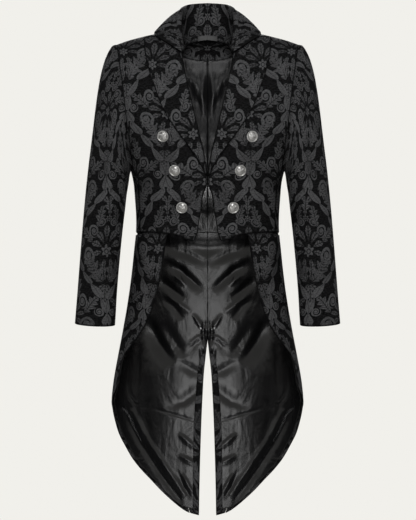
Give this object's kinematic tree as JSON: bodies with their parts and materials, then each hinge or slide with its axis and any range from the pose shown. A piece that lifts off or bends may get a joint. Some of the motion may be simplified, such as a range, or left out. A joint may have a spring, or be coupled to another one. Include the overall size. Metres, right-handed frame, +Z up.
{
  "type": "tailcoat",
  "caption": "Fitted tailcoat in dark figured cloth: peaked lapels, tall turned-down collar, domed metal buttons, cut-away fronts and long satin-lined tails with a back vent.",
  "frame": {"origin": "on the centre line at the height of the shoulders that carry the coat", "axes": "+Z up, -Y the way the coat faces, +X to the wearer's left"},
  "size_m": [0.61, 0.2751, 1.1807],
  "materials": {
    "patterned_cloth": "woven figured damask, soft sheen on the raised figure",
    "satin_lining": "smooth satin",
    "label_cloth": "plain woven tape",
    "old_silver": "antique silver, darkened in its hollows"
  },
  "bodies": {
    "root": {"front_left": "patterned_cloth", "front_right": "patterned_cloth", "side_left": "patterned_cloth", "side_right": "patterned_cloth", "back_left": "patterned_cloth", "back_right": "patterned_cloth", "skirt_left": "patterned_cloth", "skirt_right": "patterned_cloth", "top_sleeve_left": "patterned_cloth", "top_sleeve_right": "patterned_cloth", "under_sleeve_left": "patterned_cloth", "under_sleeve_right": "patterned_cloth", "lapel_left": "patterned_cloth", "lapel_right": "patterned_cloth", "collar": "patterned_cloth", "back_neck_facing": "patterned_cloth", "back_lining_left": "satin_lining", "back_lining_right": "satin_lining", "tail_lining_left": "satin_lining", "tail_lining_right": "satin_lining", "label": "label_cloth", "button_left_1": "old_silver", "button_left_2": "old_silver", "button_left_3": "old_silver", "button_right_1": "old_silver", "button_right_2": "old_silver", "button_right_3": "old_silver"}
  },
  "joints": []
}
